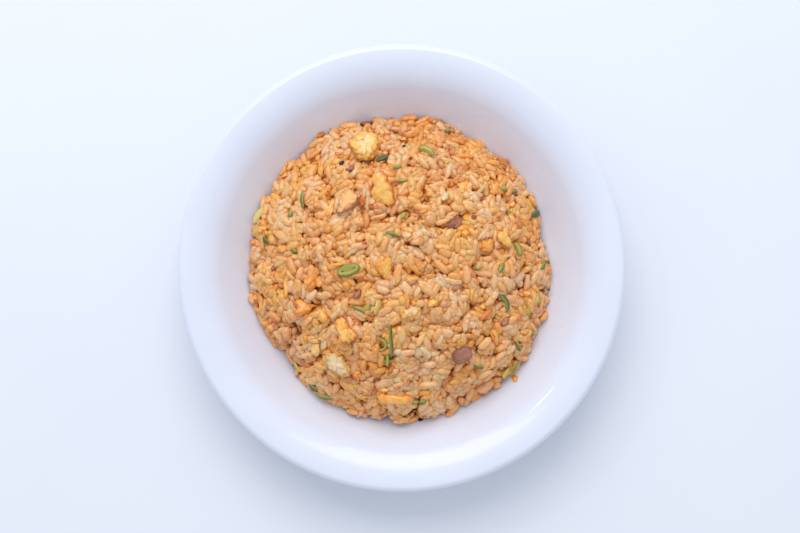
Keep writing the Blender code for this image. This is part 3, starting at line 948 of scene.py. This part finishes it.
class Look:
    """A Principled material and the nodes that feed it."""

    def __init__(self, name, roughness, **sockets):
        self.material = bpy.data.materials.new(name)
        self.material.use_nodes = True
        self.nodes = self.material.node_tree.nodes
        self.links = self.material.node_tree.links
        self.shader = self.nodes["Principled BSDF"]
        self.shader.inputs["Roughness"].default_value = roughness
        for socket, value in sockets.items():
            self.shader.inputs[socket.replace("_", " ")].default_value = value
        self.place = self.nodes.new("ShaderNodeTexCoord").outputs["Object"]

    def node(self, kind, inputs=(), **settings):
        made = self.nodes.new(kind)
        for key, value in settings.items():
            setattr(made, key, value)
        for socket, value in dict(inputs).items():
            if isinstance(value, bpy.types.NodeSocket):
                self.links.new(value, made.inputs[socket])
            else:
                made.inputs[socket].default_value = value
        return made

    def noise(self, size, detail=2.0, distortion=0.0):
        """Noise of about 0 to 1 whose features are as big as size."""
        made = self.node(
            "ShaderNodeTexNoise",
            {"Vector": self.place, "Scale": 1 / size, "Detail": detail, "Distortion": distortion},
        )
        return made.outputs["Fac"]

    def paint(self, value, stops):
        """Make the base colour from a value, by stops of (position, colour)."""
        self.feed("Base Color", self.ramp(value, stops))

    def ramp(self, value, stops):
        """A colour from a value, by stops of (position, colour)."""
        made = self.node("ShaderNodeValToRGB", {"Fac": value})
        ramp = made.color_ramp
        while len(ramp.elements) < len(stops):
            ramp.elements.new(0.5)
        for element, (position, colour) in zip(ramp.elements, stops):
            element.position = position
            element.color = (*colour, 1.0)
        return made.outputs["Color"]

    def sum(self, first, second, share):
        """first + second * share"""
        made = self.node(
            "ShaderNodeMath", {0: second, 1: share, 2: first}, operation="MULTIPLY_ADD"
        )
        return made.outputs["Value"]

    def tinted(self, size, detail, share, distortion=0.0):
        """The piece's tint with a share of noise added."""
        tint = self.node("ShaderNodeAttribute", attribute_name="tint").outputs["Fac"]
        return self.sum(tint, self.noise(size, detail, distortion), share)

    def fitted(self, value, low, high, new_low, new_high):
        """A value taken from one range to another, kept inside the new one."""
        made = self.node(
            "ShaderNodeMapRange",
            {"Value": value, "From Min": low, "From Max": high, "To Min": new_low, "To Max": new_high},
        )
        return made.outputs["Result"]

    def mixed(self, share, first, second):
        """A colour taken towards a fixed second one by a share."""
        inputs = {0: share, 6: first, 7: (*second, 1.0)}
        return self.node("ShaderNodeMix", inputs, data_type="RGBA").outputs[2]

    def bump(self, height, depth, strength):
        made = self.node(
            "ShaderNodeBump", {"Height": height, "Distance": depth, "Strength": strength}
        )
        self.links.new(made.outputs["Normal"], self.shader.inputs["Normal"])

    def feed(self, socket, value):
        self.links.new(value, self.shader.inputs[socket])


def glaze_look():
    """Cool white glaze: glossy, with the faint unevenness of a fired surface."""
    look = Look("porcelain_glaze", 0.28, IOR=1.4, Coat_Weight=0.35, Coat_Roughness=0.05)
    look.paint(look.noise(28 * MM, 3.0), ((0.3, (0.79, 0.81, 0.92)), (0.7, (0.81, 0.83, 0.94))))
    look.feed("Roughness", look.fitted(look.noise(14 * MM, 2.0), 0.3, 0.7, 0.27, 0.32))
    return look.material


# Darkest stop of the grains' colour: a few heavily sauced grains reach it, and mostly it is painted
# shade deep between the grains
SAUCE_AND_SHADE_BROWN = (0.16, 0.04, 0.008)


def rice_look(name, pale, deep, stain):
    """A cooked grain: seasoned unevenly, moist, with light passing into it."""
    look = Look(
        name, 0.3, IOR=1.45, Subsurface_Weight=0.4, Subsurface_Scale=1.4 * MM,
        Subsurface_Radius=(1.0, 0.6, 0.3), Coat_Weight=0.5, Coat_Roughness=0.12,
    )
    # The grains' tint carries their seasoning and, deeper in the heap, their painted shade
    shade = look.sum(look.tinted(2.4 * MM, 3.0, 0.5), look.noise(0.8 * MM, 3.0), 0.2)
    shade = look.fitted(shade, 0.0, 1.5, 0.0, 1.0)
    colour = look.ramp(shade, ((0.22, pale), (0.62, deep), (0.80, stain), (1.0, SAUCE_AND_SHADE_BROWN)))
    stains = look.fitted(look.noise(2.2 * MM, 4.0, 0.5), 0.50, 0.72, 0.0, 0.5)
    look.feed("Base Color", look.mixed(stains, colour, stain))
    look.feed("Roughness", look.fitted(look.noise(1.0 * MM, 3.0), 0.3, 0.7, 0.22, 0.42))
    look.bump(look.noise(1.7 * MM, 4.0), 0.9 * MM, 0.7)
    return look.material


def core_look():
    """The inside that shows between the grains: sauce brown, darkened as painted shade of the gaps."""
    look = Look("rice_inside_painted_shade", 0.6)
    look.paint(look.noise(2.0 * MM, 4.0), ((0.3, (0.26, 0.075, 0.018)), (0.75, (0.66, 0.27, 0.08))))
    look.bump(look.noise(0.8 * MM, 4.0), 0.3 * MM, 0.8)
    return look.material


def egg_look():
    """Scrambled egg: cream to orange with browned edges, its cut surface finely porous."""
    look = Look(
        "egg", 0.34, Subsurface_Weight=0.15, Subsurface_Scale=1.2 * MM,
        Subsurface_Radius=(1.0, 0.6, 0.2), Coat_Weight=0.6, Coat_Roughness=0.2,
    )
    shade = look.fitted(look.tinted(2.2 * MM, 4.0, 0.9), 0.25, 1.25, 0.0, 1.0)
    look.paint(
        shade,
        (
            (0.08, (0.99, 0.70, 0.36)), (0.40, (1.0, 0.56, 0.13)), (0.66, (0.99, 0.43, 0.06)),
            (0.92, (0.88, 0.27, 0.035)), (1.0, (0.66, 0.16, 0.02)),
        ),
    )
    look.feed("Roughness", look.fitted(look.noise(1.0 * MM, 3.0), 0.3, 0.7, 0.26, 0.5))
    look.bump(look.noise(1.2 * MM, 4.0), 0.3 * MM, 0.5)
    return look.material


def scallion_look():
    """Scallion from its pale inside to its dark green outside, finely ribbed."""
    look = Look(
        "scallion", 0.35, Subsurface_Weight=0.1, Subsurface_Scale=0.8 * MM,
        Subsurface_Radius=(0.9, 1.0, 0.2), Coat_Weight=0.2, Coat_Roughness=0.15,
    )
    look.paint(
        look.tinted(1.5 * MM, 3.0, 0.3),
        (
            (0.12, (0.84, 0.62, 0.18)), (0.45, (0.52, 0.43, 0.08)), (0.75, (0.27, 0.265, 0.04)),
            (1.0, (0.085, 0.10, 0.03)),
        ),
    )
    look.bump(look.noise(0.5 * MM, 2.0), 0.08 * MM, 0.6)
    return look.material


def pork_look():
    """Roast pork from its tan fat to its dark crust, with the grain of meat."""
    look = Look("pork", 0.45, Subsurface_Weight=0.08, Subsurface_Scale=0.8 * MM)
    look.paint(
        look.tinted(1.4 * MM, 4.0, 0.3, 0.6),
        (
            (0.22, (0.96, 0.50, 0.17)), (0.42, (0.64, 0.25, 0.10)), (0.66, (0.41, 0.16, 0.10)),
            (0.95, (0.17, 0.06, 0.04)), (1.0, (0.03, 0.015, 0.012)),
        ),
    )
    look.bump(look.noise(1.1 * MM, 5.0, 1.5), 0.35 * MM, 0.7)
    return look.material


def onion_look():
    """Fried onion: translucent, cream, stained by the seasoning at its edges."""
    look = Look(
        "onion", 0.28, Subsurface_Weight=0.6, Subsurface_Scale=3.0 * MM,
        Subsurface_Radius=(1.0, 0.7, 0.4), Coat_Weight=0.25, Coat_Roughness=0.12,
    )
    look.paint(
        look.tinted(2.0 * MM, 3.0, 0.35),
        ((0.15, (0.88, 0.68, 0.42)), (0.50, (0.88, 0.58, 0.28)), (0.80, (0.84, 0.42, 0.12))),
    )
    look.bump(look.noise(0.9 * MM, 2.0), 0.08 * MM, 0.5)
    return look.material


RICE_LOOKS = {  # pale, deep and stain colours of each kind of grain
    "grains_plain": ((0.98, 0.65, 0.365), (0.88, 0.46, 0.20), (0.68, 0.255, 0.08)),
    "grains_pale": ((0.98, 0.61, 0.295), (0.91, 0.45, 0.17), (0.725, 0.255, 0.065)),
    "grains_tan": ((0.98, 0.585, 0.25), (0.925, 0.44, 0.14), (0.74, 0.25, 0.055)),
    "grains_golden": ((0.98, 0.56, 0.20), (0.93, 0.42, 0.105), (0.74, 0.235, 0.04)),
    "grains_coated": ((0.98, 0.53, 0.125), (0.95, 0.38, 0.06), (0.76, 0.215, 0.025)),
}
TOPPING_LOOKS = {
    "egg": egg_look, "scallion": scallion_look, "pork": pork_look, "onion": onion_look,
}


# ---------------------------------------------------------------- stage


def add_area_light(name, size, distance, azimuth, elevation, power, colour):
    """A rectangular soft light that looks at the dish."""
    light = bpy.data.lights.new(name, "AREA")
    light.shape = "RECTANGLE"
    light.size, light.size_y = size
    light.energy, light.color = power, colour
    turn, rise = math.radians(azimuth), math.radians(elevation)
    away = Vector(
        (math.cos(turn) * math.cos(rise), math.sin(turn) * math.cos(rise), math.sin(rise))
    )
    lamp = bpy.data.objects.new(name, light)
    lamp.location = away * distance
    lamp.rotation_euler = (-away).to_track_quat("-Z", "Y").to_euler()
    bpy.context.scene.collection.objects.link(lamp)


def add_world(colour, strength):
    world = bpy.data.worlds.new("studio")
    world.use_nodes = True
    background = world.node_tree.nodes["Background"]
    background.inputs["Color"].default_value = (*colour, 1.0)
    background.inputs["Strength"].default_value = strength
    bpy.context.scene.world = world


def add_table():
    """The plain pale table top, which isn't part of the object."""
    half = 1.5
    corners = np.array([(-half, -half, 0), (half, -half, 0), (half, half, 0), (-half, half, 0)])
    table = add_piece("table_top", corners, [(0, 1, 2, 3)])
    look = Look("table_white", 0.55)
    look.paint(look.noise(120 * MM), ((0.3, (0.845, 0.865, 0.92)), (0.7, (0.865, 0.88, 0.93))))
    table.data.materials.append(look.material)


def add_camera():
    """Straight above the dish, far enough for a gentle perspective."""
    lens = bpy.data.cameras.new("camera")
    lens.lens, lens.sensor_width = 57, 36
    camera = bpy.data.objects.new("camera", lens)
    camera.location = (-0.8 * MM, 0.7 * MM, 0.6255)
    bpy.context.scene.collection.objects.link(camera)
    bpy.context.scene.camera = camera


def place_piece(piece, material, node):
    """Give a piece its material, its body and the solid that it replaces."""
    piece.data.materials.append(material)
    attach(piece, "root")
    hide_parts(node)


def main():
    add_camera()
    add_world(colour=(0.85, 0.92, 1.02), strength=0.71)
    add_area_light(
        "key", size=(1.2, 1.07), distance=1.6, azimuth=96, elevation=48, power=13.8,
        colour=(0.97, 0.98, 0.99),
    )
    add_area_light(
        "window", size=(0.15, 0.02), distance=1.2, azimuth=137, elevation=45, power=0.45,
        colour=(1.0, 1.0, 1.0),
    )
    add_table()
    bpy.context.scene.view_settings.view_transform = "Standard"

    place_piece(make_plate(), glaze_look(), "plate")
    surface = HeapSurface()
    rng = np.random.default_rng(11)
    toppings = Toppings(surface, rng)
    packing = Packing(surface, toppings.ellipsoids, rng)
    packing.settle()
    place_piece(make_core(surface), core_look(), "rice")
    pieces, tree = make_grains(packing, rng)
    for piece in pieces:
        place_piece(piece, rice_look(piece.name, *RICE_LOOKS[piece.name]), "rice")
    materials = {kind: look() for kind, look in TOPPING_LOOKS.items()}
    for name, kind, count, sizes, tints in CRUMBS:
        crumbs = make_crumbs(name, count, sizes, tints, surface, tree, rng)
        place_piece(crumbs, materials[kind], "rice")
    for name, shapes in toppings.shapes.items():
        kind = name.split("_")[0]
        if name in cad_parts:
            place_piece(add_shapes(name + "_cooked", shapes), materials[kind], name)
        else:
            place_piece(add_shapes(name, shapes), materials[kind], "rice")


main()
